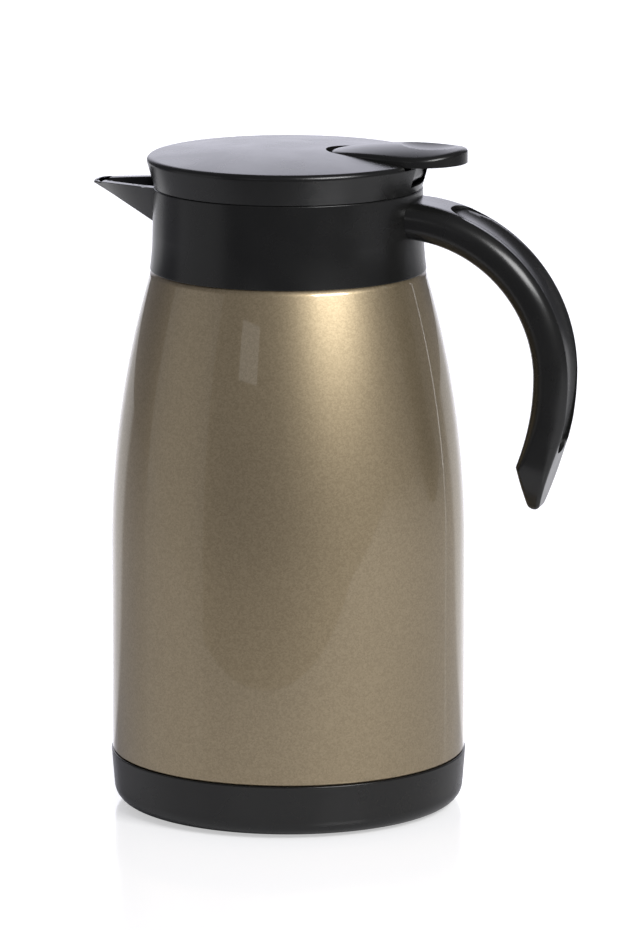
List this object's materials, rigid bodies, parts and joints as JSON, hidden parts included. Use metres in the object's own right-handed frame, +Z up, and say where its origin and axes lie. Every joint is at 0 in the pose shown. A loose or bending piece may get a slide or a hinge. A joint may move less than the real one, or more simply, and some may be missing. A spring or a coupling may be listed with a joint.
{
  "type": "thermal carafe",
  "caption": "Vacuum-walled steel carafe with an open handle, a V-shaped spout and a screw-in stopper whose lid has a thumb lever that opens the pour valve.",
  "frame": {"origin": "centre of the underside of the base pad, where the carafe stands", "axes": "+Z up along the axis of the bottle, +X towards the handle, the spout points to -X"},
  "size_m": [0.1795, 0.1304, 0.2456],
  "materials": {
    "bronze_paint": "metallic flake paint under gloss clear coat",
    "steel": "drawn steel",
    "black_plastic": "satin moulded plastic",
    "white_plastic": "natural acetal",
    "soft_grey": "silicone"
  },
  "bodies": {
    "vessel": {"outer_shell": "bronze_paint", "inner_flask": "steel", "bottom_plate": "steel", "vacuum_plug": "steel", "getter": "steel", "base_cup": "black_plastic", "base_pad": "soft_grey", "collar": "black_plastic", "neck_gasket": "soft_grey", "thread_ring": "black_plastic", "handle": "black_plastic", "handle_inlay": "black_plastic", "handle_screws": "steel"},
    "seal_ring": {"stopper_gasket": "soft_grey"},
    "stopper": {"stopper_body": "black_plastic", "lid_cover": "black_plastic", "lid_screws": "steel", "lever_pin": "steel", "stem_bush": "white_plastic", "stem_seal": "soft_grey", "valve_spring": "steel"},
    "lever": {"thumb_lever": "black_plastic"},
    "valve": {"valve_stem": "steel", "valve_plug": "white_plastic", "valve_seal": "soft_grey", "stem_cap": "white_plastic"}
  },
  "joints": [
    {"name": "stopper_rise", "type": "slide", "parent": "vessel", "child": "seal_ring", "axis": [0, 0, 1], "range_m": [0, 0.036]},
    {"name": "stopper_turn", "type": "hinge", "parent": "seal_ring", "child": "stopper", "pos_m": [0, 0, 0.22], "axis": [0, 0, 1], "range_deg": [0, 360]},
    {"name": "lever_press", "type": "hinge", "parent": "stopper", "child": "lever", "pos_m": [0.0455, 0, 0.234], "axis": [0, 1, 0], "range_deg": [0, 8]},
    {"name": "valve_lift", "type": "slide", "parent": "stopper", "child": "valve", "axis": [0, 0, 1], "range_m": [0, 0.00677], "stiffness_N_per_m": 200, "springref_m": -0.012, "deforming": ["valve_spring"]}
  ],
  "couplings": [
    {"joint": "stopper_rise", "follows": "stopper_turn", "m_per_rad": 0.0057296},
    {"joint": "lever_press", "follows": "valve_lift", "rad_per_m": 20.619}
  ]
}
